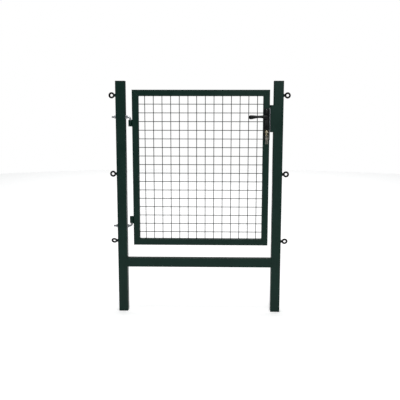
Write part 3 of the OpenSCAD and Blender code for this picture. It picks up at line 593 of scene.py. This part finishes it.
rod_heights = []
for node, sleeve, bend_way in (
        ("hinge_bolt_upper", "hinge_sleeve_upper", -1), ("hinge_bolt_lower", "hinge_sleeve_lower", 1)):
    low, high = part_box(node)
    pin_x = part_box(sleeve)[0].x + SLEEVE_R
    rod_z = high.z - ROD if bend_way < 0 else low.z + ROD
    rod_heights.append(rod_z)
    pin_end = low.z if bend_way < 0 else high.z
    bend_x = pin_x - ROD_BEND
    path = []
    steps = int((bend_x - low.x) / (0.22 * MM))
    for n in range(steps):
        path.append(Vector((low.x + (bend_x - low.x) * n / steps, 0, rod_z)))
    for n in range(13):
        a = math.pi / 2 * n / 12
        along, down = math.sin(a), 1 - math.cos(a)
        path.append(Vector((bend_x + ROD_BEND * along, 0, rod_z + bend_way * ROD_BEND * down)))
    pin_start = rod_z + bend_way * ROD_BEND
    for share in (0.5, 0.9, 0.97, 1.0):
        path.append(Vector((pin_x, 0, pin_start + (pin_end - pin_start) * share)))
    pin_total = bend_x - low.x + ROD_BEND * math.pi / 2 + abs(pin_end - pin_start)

    def hook_radius(distance, angle, pin_total=pin_total):
        return min(rod_radius(distance, angle), ROD - 1.2 * MM + (pin_total - distance) * 0.9 + 0.2 * MM)

    hook = bmesh.new()
    round_rod(hook, path, hook_radius)
    collar_z = min(pin_start, pin_start + bend_way * COLLAR_T)
    collar_rim = COLLAR_R - 0.7 * MM
    collar = [(0, collar_rim), (0.6 * MM, COLLAR_R), (COLLAR_T - 0.6 * MM, COLLAR_R), (COLLAR_T, collar_rim)]
    turned(hook, collar, (pin_x, 0, collar_z), (0, 0, 1))
    made = piece(f"{node}_threaded", hook, "portal", zinc_plate, 40)
    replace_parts(made, node)

rod_nut_low, rod_nut_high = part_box("hinge_nuts")
rod_nuts = bmesh.new()
for z in rod_heights:
    hex_nut(rod_nuts, rod_nut_low.x, rod_nut_low.x + ROD_NUT_T, z, NUT_FLATS, ROD_NUT_BORE)
    hex_nut(rod_nuts, rod_nut_high.x - ROD_NUT_T, rod_nut_high.x, z, NUT_FLATS, ROD_NUT_BORE)
rod_nut_set = piece("rod_nut_set", rod_nuts, "portal", zinc_plate)
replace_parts(rod_nut_set, "hinge_nuts")
dress("hinge_washers", zinc_plate, 0.4 * MM)
dress("bearing_washer", zinc_plate, 0.4 * MM)
dress("eye_inserts", zinc_plate, 0.3 * MM)

sleeve_welds = bmesh.new()
for node in ("hinge_sleeve_upper", "hinge_sleeve_lower"):
    dress(node, green_coat, 0.6 * MM)
    low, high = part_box(node)
    x = high.x - 0.6 * MM
    for way in (-1, 1):
        y = way * 8 * MM
        weld_bead(
            sleeve_welds, (x, y, low.z + 1 * MM), (x, y, high.z - 1 * MM),
            (-1, way, 0), 7 * MM, 2.6 * MM, seed=11)
piece("sleeve_welds", sleeve_welds, "leaf", green_coat)


# ---- Leaf frame ----
# Four lengths of square tube mitred at the corners and welded all round. The beads on
# the faces are ground low before coating, so they show only as faint ridges.

FRAME = 40 * MM
leaf_low, leaf_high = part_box("hinge_stile")[0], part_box("latch_stile")[1]
leaf_bottom, leaf_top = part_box("bottom_rail")[0].z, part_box("top_rail")[1].z
for node in ("hinge_stile", "latch_stile", "top_rail", "bottom_rail"):
    dress(node, green_coat)
front, back = leaf_low.y + 3 * MM, leaf_high.y - 3 * MM
mitre_welds = bmesh.new()
for x, sx in ((leaf_low.x, 1), (leaf_high.x, -1)):
    for z, sz in ((leaf_bottom, 1), (leaf_top, -1)):
        near, far = 2 * MM, FRAME - 1 * MM
        for y, way in ((leaf_low.y, -1), (leaf_high.y, 1)):
            weld_bead(
                mitre_welds, (x + sx * near, y, z + sz * near), (x + sx * far, y, z + sz * far),
                (0, way, 0), GROUND_BEAD, 0.5 * MM, seed=21)
        for inset, out, width, crown, seed in (
                (0.9 * MM, -1, 4.5 * MM, 0.8 * MM, 22), (FRAME, 1, BEAD, 2.4 * MM, 23)):
            corner_x, corner_z = x + sx * inset, z + sz * inset
            weld_bead(
                mitre_welds, (corner_x, front, corner_z), (corner_x, back, corner_z),
                (out * sx, 0, out * sz), width, crown, seed=seed)
piece("mitre_welds", mitre_welds, "leaf", green_coat)


# ---- Welded mesh ----
# Upright and level wires, spot welded to each other where they cross and welded to the
# inside of the frame at their ends, then coated with the frame.

mesh_coat = finish_material(
    "coated_wire", (0.006, 0.016, 0.013, 1), (0.008, 0.020, 0.016, 1), 40, 0.0, 0.40, 0.48,
    (900.0, 3500.0), 0.04 * MM, 0.2, 0.04, mirror=0.12)
WIRE = 2.25 * MM
up_low, up_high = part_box("mesh_vertical_wires")
level_low, level_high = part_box("mesh_horizontal_wires")
WIRE_PITCH = 55 * MM
wires_across = round((up_high.x - up_low.x - 2 * WIRE) / WIRE_PITCH) + 1
wires_up = round((level_high.z - level_low.z - 2 * WIRE) / WIRE_PITCH) + 1
wire_xs = [up_low.x + WIRE + n * WIRE_PITCH for n in range(wires_across)]
wire_zs = [level_low.z + WIRE + n * WIRE_PITCH for n in range(wires_up)]

upright_wires = bmesh.new()
for x in wire_xs:
    round_rod(upright_wires, [Vector((x, -WIRE, up_low.z)), Vector((x, -WIRE, up_high.z))], WIRE, 20)
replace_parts(piece("upright_wires", upright_wires, "leaf", mesh_coat), "mesh_vertical_wires")
level_wires = bmesh.new()
for z in wire_zs:
    round_rod(level_wires, [Vector((level_low.x, WIRE, z)), Vector((level_high.x, WIRE, z))], WIRE, 20)
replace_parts(piece("level_wires", level_wires, "leaf", mesh_coat), "mesh_horizontal_wires")


def weld_drop(bm, centre, axis, radius, height, seed):
    """A small round weld between a wire and what it meets."""
    middle = radius * random.Random(seed).uniform(0.9, 1.05)
    tip, shoulder = 0.15 * radius, 0.7 * radius
    drop = [(-height, tip), (-0.7 * height, shoulder), (0, middle), (0.7 * height, shoulder), (height, tip)]
    turned(bm, drop, centre, axis, 12)


END_WELD_R, END_WELD_H = 3.6 * MM, 2.2 * MM
SPOT_R, SPOT_H = 1.9 * MM, 1.1 * MM
wire_welds = bmesh.new()
for i, x in enumerate(wire_xs):
    for z, way in ((up_low.z, 1), (up_high.z, -1)):
        weld_drop(wire_welds, (x, -WIRE, z), (0, 0, way), END_WELD_R, END_WELD_H, i)
    for j, z in enumerate(wire_zs):
        weld_drop(wire_welds, (x, 0, z), (0, 1, 0), SPOT_R, SPOT_H, 31 * i + j)
for j, z in enumerate(wire_zs):
    for x, way in ((level_low.x, 1), (level_high.x, -1)):
        weld_drop(wire_welds, (x, WIRE, z), (way, 0, 0), END_WELD_R, END_WELD_H, 500 + j)
piece("wire_welds", wire_welds, "leaf", mesh_coat, 60)


# ---- Keep and strike plate ----
# A box folded from sheet and welded round the latch post's front and inner face. A
# zinc-plated strike plate with the two bolt windows is screwed on its side.

dress("keep", green_coat, 0.8 * MM)
dress("strike_plate", zinc_plate, 0.3 * MM)
keep_low, keep_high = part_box("keep")
post_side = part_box("latch_post")[0].x
POST_FACE = -30 * MM
KEEP_BACK = 20 * MM
keep_edge = keep_high.x
keep_welds = bmesh.new()
weld_bead(
    keep_welds, (keep_edge, POST_FACE, keep_low.z + 4 * MM), (keep_edge, POST_FACE, keep_high.z - 4 * MM),
    (1, -1, 0), 6.5 * MM, 2.4 * MM, seed=41)
for z, way in ((keep_low.z, -1), (keep_high.z, 1)):
    weld_bead(
        keep_welds, (post_side + 3 * MM, POST_FACE, z), (keep_edge - 3 * MM, POST_FACE, z),
        (0, -1, way), BEAD, BEAD_CROWN, seed=42)
    weld_bead(
        keep_welds, (post_side, POST_FACE + 4 * MM, z), (post_side, KEEP_BACK, z),
        (-1, 0, way), BEAD, BEAD_CROWN, seed=43)
piece("keep_welds", keep_welds, "portal", green_coat)


def flat_piece(name, outlines, thickness, rounding, place, body, material, sharp=35.0):
    """A plate from closed outlines, the outer one first, with rounded edges."""
    shape = bpy.data.curves.new(name, "CURVE")
    shape.dimensions = "2D"
    shape.fill_mode = "BOTH"
    shape.extrude = thickness / 2 - rounding
    shape.bevel_depth = rounding
    shape.bevel_resolution = 2
    shape.offset = -rounding
    for outline in outlines:
        line = shape.splines.new("POLY")
        line.points.add(len(outline) - 1)
        for point, (x, y) in zip(line.points, outline):
            point.co = (x, y, 0, 1)
        line.use_cyclic_u = True
    holder = bpy.data.objects.new(name, shape)
    bpy.context.scene.collection.objects.link(holder)
    bpy.context.view_layer.update()
    data = bpy.data.meshes.new_from_object(holder.evaluated_get(bpy.context.evaluated_depsgraph_get()))
    bpy.data.objects.remove(holder)
    bm = bmesh.new()
    bm.from_mesh(data)
    bmesh.ops.remove_doubles(bm, verts=bm.verts, dist=0.002 * MM)
    bm.transform(place)
    return piece(name, bm, body, material, sharp)


def arc(cx, cy, r, start, end, count):
    """Points on an arc between two angles in degrees."""
    return [(cx + r * math.cos(math.radians(start + (end - start) * n / count)),
             cy + r * math.sin(math.radians(start + (end - start) * n / count))) for n in range(count + 1)]


def circle(cx, cy, r, count=48):
    """Points on a whole circle."""
    return arc(cx, cy, r, 0, 360, count)[:-1]


def cross_recess(size, arm):
    """The outline of a cross recess: how far it reaches, and half the width of an arm."""
    return [(size, -arm), (size, arm), (arm, arm), (arm, size), (-arm, size), (-arm, arm),
            (-size, arm), (-size, -arm), (-arm, -arm), (-arm, -size), (arm, -size), (arm, -arm)]


def facing(place, way):
    """The matrix that sets a flat piece's face at a place, looking a way."""
    return Matrix.Translation(Vector(place)) @ Vector(way).to_track_quat("Z", "Y").to_matrix().to_4x4()


def screw_head(name, place, way, radius, depth, body, material):
    """A round head with a cross recess. The place is the middle of its face."""
    way = Vector(way)
    centre = Vector(place) - way * depth / 2
    outlines = [circle(0, 0, radius), cross_recess(radius * 0.52, radius * 0.15)]
    return flat_piece(name, outlines, depth, 0.2 * MM, facing(centre, way), body, material)


strike_low, strike_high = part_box("strike_plate")
dress("strike_screws", zinc_plate)
STRIKE_SCREW_IN = 8 * MM
for n, z in enumerate((strike_low.z + STRIKE_SCREW_IN, strike_high.z - STRIKE_SCREW_IN)):
    screw_head(
        f"strike_screw_head_{n + 1}", (strike_low.x - 0.85 * MM, 0, z), (-1, 0, 0), 4.4 * MM, 0.8 * MM,
        "portal", zinc_plate)


# ---- Lock in the latch stile ----
# A narrow lock case slides into the stile and is held by its forend. A follower on the
# square spindle draws the latch bolt, and the cylinder's cam throws the dead bolt.

lock_steel = finish_material(
    "galvanised_sheet", (0.40, 0.41, 0.42, 1), (0.31, 0.32, 0.33, 1), 160, 1.0, 0.36, 0.52,
    (1200.0, 5000.0), 0.02 * MM, 0.4, 0.05, wear_and_glint_colour=(0.60, 0.60, 0.60, 1))
for node in ("lock_case", "lock_cover", "follower_hub", "spindle", "dead_bolt", "latch_bolt", "cam"):
    dress(node, lock_steel, 0.25 * MM)
for node in ("lock_forend", "forend_screws", "cylinder_screw", "plate_screws", "lever_set_screws"):
    dress(node, zinc_plate, 0.2 * MM)

spring_low, spring_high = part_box("latch_spring")
SPRING_WIRE = 0.5 * MM
SPRING_R = 3.7 * MM
SPRING_STEPS = 7 * 24
spring_z = (spring_low.z + spring_high.z) / 2
spring_length = spring_high.x - spring_low.x - 2 * SPRING_WIRE
spring_path = []
for n in range(SPRING_STEPS + 1):
    a = 2 * math.pi * n / 24
    x = spring_low.x + SPRING_WIRE + spring_length * n / SPRING_STEPS
    spring_path.append(Vector((x, SPRING_R * math.cos(a), spring_z + SPRING_R * math.sin(a))))
coil = bmesh.new()
round_rod(coil, spring_path, SPRING_WIRE, 8)
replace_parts(piece("latch_spring_coil", coil, "leaf", zinc_plate, 60), "latch_spring")


# ---- Long plates ----
# Two black plates, front and back, screwed to each other through the stile. Each has a
# hole for the lever's neck and one in the shape of the lock cylinder.

lever_black = finish_material(
    "black_lever_moulding", (0.0022, 0.0034, 0.0042, 1), (0.0034, 0.0048, 0.0060, 1), 45, 0.0, 0.28, 0.38,
    (700.0, 4200.0), 0.03 * MM, 0.25, 0.05, mirror=0.22, wear_and_glint_colour=(0.016, 0.018, 0.020, 1))
plate_low, plate_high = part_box("front_plate")
SPINDLE_X = (plate_low.x + plate_high.x) / 2
SPINDLE_Z = 1275 * MM
CYLINDER_Z = 1183 * MM
PLATE_T = plate_high.y - plate_low.y
plate_mid = (plate_low.z + plate_high.z) / 2
half_w = (plate_high.x - plate_low.x) / 2
half_h = (plate_high.z - plate_low.z) / 2


PLATE_SCREW_IN = 7 * MM
plate_screws_z = (plate_low.z + PLATE_SCREW_IN, plate_high.z - PLATE_SCREW_IN)


def plate_outline(corner):
    """A plate's outline with round corners."""
    points = []
    for sx, sy, start in ((1, 1, 0), (-1, 1, 90), (-1, -1, 180), (1, -1, 270)):
        points += arc(sx * (half_w - corner), sy * (half_h - corner), corner, start, start + 90, 10)
    return points


def cylinder_outline(z, grow):
    """The profile of the lock cylinder: a round head over a narrower keel."""
    head, keel, drop = 8.5 * MM + grow, 5 * MM + grow, 19.5 * MM
    shoulder = math.degrees(math.asin(keel / head))
    return arc(0, z, head, -90 + shoulder, 270 - shoulder, 40) + arc(0, z - drop, keel, 180, 360, 16)


for side, node in ((-1, "front_plate"), (1, "back_plate")):
    low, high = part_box(node)
    neck_hole = circle(0, SPINDLE_Z - plate_mid, 9.15 * MM)
    keyhole = cylinder_outline(CYLINDER_Z - plate_mid, 0.25 * MM)
    outlines = [plate_outline(5 * MM), neck_hole, keyhole]
    for z in plate_screws_z:
        outlines.append(circle(0, z - plate_mid, 3.95 * MM, 32))
    middle = Vector((SPINDLE_X, (low.y + high.y) / 2, plate_mid))
    place = Matrix.Translation(middle) @ Matrix.Rotation(math.pi / 2, 4, "X")
    made = flat_piece(
        f"{node}_moulding", outlines, PLATE_T, 1.4 * MM, place, "leaf", lever_black)
    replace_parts(made, node)
    outer = (low.y if side < 0 else high.y) + side * 0.02 * MM
    for n, z in enumerate(plate_screws_z):
        screw_head(
            f"{node}_screw_{n + 1}", (SPINDLE_X, outer, z), (0, side, 0), 3.7 * MM, 1.6 * MM,
            "leaf", lever_black)


# ---- Levers ----
# Two black levers on one square spindle, each pinned by a set screw in its neck. The
# grip swells towards its rounded end, which droops a little.

lever_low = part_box("lever_front")[0]
LEVER_REACH = SPINDLE_X - lever_low.x
LEVER_HEEL = 10.6 * MM
GRIP_DEPTH = 14 * MM
NECK_IN = 20.6 * MM
NECK_PROFILE = [
    (0, 8.6 * MM), (0.3 * MM, 8.95 * MM), (8 * MM, 8.95 * MM), (9 * MM, 8.4 * MM),
    (13 * MM, 8.2 * MM), (17 * MM, 8.6 * MM), (21 * MM, 9.2 * MM), (25 * MM, 8.4 * MM)]


def lever_grip(side):
    """The grip and neck of one lever. Side is -1 for the front and 1 for the back."""
    bm = bmesh.new()
    middle_y = side * (-lever_low.y - GRIP_DEPTH / 2)
    stations = 46
    rings = []
    for n in range(stations + 1):
        s = n / stations
        x = LEVER_HEEL - s * (LEVER_REACH + LEVER_HEEL)
        body = 11.2 - 3.6 * math.sin(math.pi * min(1, max(0.0, s - 0.1) / 0.75)) ** 1.3 - 1.2 * s
        if s > 0.55:
            body += 2.6 * ((s - 0.55) / 0.45) ** 1.2
        tip = math.sqrt(max(0.0, 1 - max(0.0, (s - 0.93) / 0.07) ** 2))
        heel = math.sqrt(max(0.0, 1 - max(0.0, (0.12 - s) / 0.12) ** 2))
        end = max(0.06, min(tip, heel))
        half_z = body * MM * end
        waist = 0.80 + 0.20 * math.cos(math.pi * min(1, s * 1.4)) ** 2
        half_y = GRIP_DEPTH / 2 * waist * max(0.10, end ** 0.7)
        droop = -3.2 * MM * max(0.0, (s - 0.5) / 0.5) ** 2 + 0.9 * MM * math.sin(math.pi * s)
        pull = -side * 1.6 * MM * max(0.0, (s - 0.6) / 0.4) ** 2
        ring = []
        for k in range(36):
            a = 2 * math.pi * k / 36
            c, d = math.cos(a), math.sin(a)
            y = math.copysign(abs(c) ** 0.82, c) * half_y
            z = math.copysign(abs(d) ** 0.88, d) * half_z
            ring.append(Vector((SPINDLE_X + x, middle_y + y + pull, SPINDLE_Z + z + droop)))
        rings.append(ring)
    skin_over(bm, rings)
    turned(bm, NECK_PROFILE, (SPINDLE_X, side * NECK_IN, SPINDLE_Z), (0, side, 0), 40)
    return bm


for side, node in ((-1, "lever_front"), (1, "lever_back")):
    made = piece(f"{node}_moulding", lever_grip(side), "levers", lever_black, 50)
    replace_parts(made, node)


# ---- Cylinder, keys and ring ----
# A brass lock cylinder with a turning plug, held by a long screw through the forend. Its
# key stays in it, with two spare keys on a split ring through the bow.

brass = finish_material(
    "satin_brass", (0.66, 0.56, 0.36, 1), (0.52, 0.43, 0.26, 1), 130, 1.0, 0.30, 0.42,
    (1500.0, 6000.0), 0.01 * MM, 0.4, 0.05, wear_and_glint_colour=(0.85, 0.74, 0.48, 1))
key_nickel = finish_material(
    "worn_nickel", (0.78, 0.75, 0.66, 1), (0.60, 0.57, 0.48, 1), 260, 1.0, 0.26, 0.40,
    (1700.0, 7000.0), 0.012 * MM, 0.7, 0.04, wear_and_glint_colour=(0.86, 0.80, 0.62, 1))
for node in ("cylinder_body", "rear_plug", "cylinder_plug"):
    dress(node, brass, 0.3 * MM)

BOW = 12.5 * MM
BLADE = 4.1 * MM
KEY_T = 2.3 * MM
HOLE_IN = 5 * MM
HOLE_R = 3.25 * MM


def key_outline(total, cuts):
    """A key lying along X: the middle of its bow at the origin, its tip at +X."""
    points = arc(0, 0, BOW, 22, 338, 44)
    shoulder = BOW + 1.5 * MM
    points += [(shoulder, -BLADE), (total - 4 * MM, -BLADE)]
    points += [(total, -BLADE + 3 * MM), (total - 1.2 * MM, 0.4 * MM)]
    span = (total - 6 * MM - shoulder) / len(cuts)
    for n, cut in enumerate(reversed(cuts)):
        x = total - 3 * MM - n * span
        points += [(x, BLADE - cut), (x - 0.45 * span, BLADE - cut), (x - 0.75 * span, BLADE - 0.5 * MM)]
    points += [(shoulder, BLADE)]
    return points


def key_piece(name, total, cuts, place, body):
    """A flat key with a hole in its bow. The cuts are the depths of the notches in its blade."""
    outlines = [key_outline(total, cuts), circle(-(BOW - HOLE_IN), 0, HOLE_R, 32)]
    return flat_piece(name, outlines, KEY_T, 0.35 * MM, place, body, key_nickel)


key_low, key_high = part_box("key")
bow_y = key_low.y + BOW
pointing_in = Matrix(((0, 0, 1, 0), (1, 0, 0, 0), (0, 1, 0, 0), (0, 0, 0, 1)))
in_lock = Matrix.Translation((SPINDLE_X, bow_y, CYLINDER_Z)) @ pointing_in
lock_cuts = [0.6 * MM, 1.9 * MM, 1.1 * MM, 2.4 * MM, 0.9 * MM]
lock_key = key_piece("lock_key", key_high.y - bow_y, lock_cuts, in_lock, "key")
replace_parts(lock_key, "key")

ring_low, ring_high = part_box("key_ring")
ring_z = (ring_low.z + ring_high.z) / 2
ring_y = (ring_low.y + ring_high.y) / 2
RING_LIFT = 0.9 * MM
RING_WIRE = 0.5 * MM
ring_r = (ring_high.z - ring_low.z) / 2 - RING_LIFT
ring_path = []
for n in range(2 * 60 + 6):
    a = math.radians(110) + 2 * math.pi * n / 60
    y = ring_y - RING_LIFT / 2 + RING_LIFT * n / 120
    ring_path.append(Vector((SPINDLE_X + ring_r * math.cos(a), y, ring_z + ring_r * math.sin(a))))
split_ring = bmesh.new()
round_rod(split_ring, ring_path, RING_WIRE, 10)
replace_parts(piece("split_ring", split_ring, "key_bunch", key_nickel, 60), "key_ring")

spare_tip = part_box("spare_keys")[0].z
HANG_R = 11.5 * MM
RING_STOCK_R = 1.0 * MM
SPARE_GAP = 1.3 * MM
spare_spread = math.radians(24)
spare_cuts = [0.8 * MM, 2.2 * MM, 1.4 * MM, 0.6 * MM, 1.8 * MM]
spare_turn = Matrix.Rotation(math.radians(28), 4, "Z")
pointing_down = Matrix(((0, 0, 1, 0), (0, 1, 0, 0), (-1, 0, 0, 0), (0, 0, 0, 1)))
hang_z = ring_z - HANG_R * math.cos(spare_spread)
bow_z = hang_z - HOLE_R + RING_STOCK_R + SPARE_GAP - (BOW - HOLE_IN)
for n, side in enumerate((-1, 1)):
    hang_x = SPINDLE_X + side * HANG_R * math.sin(spare_spread)
    place = Matrix.Translation((hang_x, ring_y, bow_z)) @ spare_turn @ pointing_down
    spare = key_piece(f"spare_key_{n + 1}", bow_z - spare_tip, spare_cuts[::side], place, "key_bunch")
    if n == 0:
        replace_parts(spare, "spare_keys")


low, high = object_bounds()
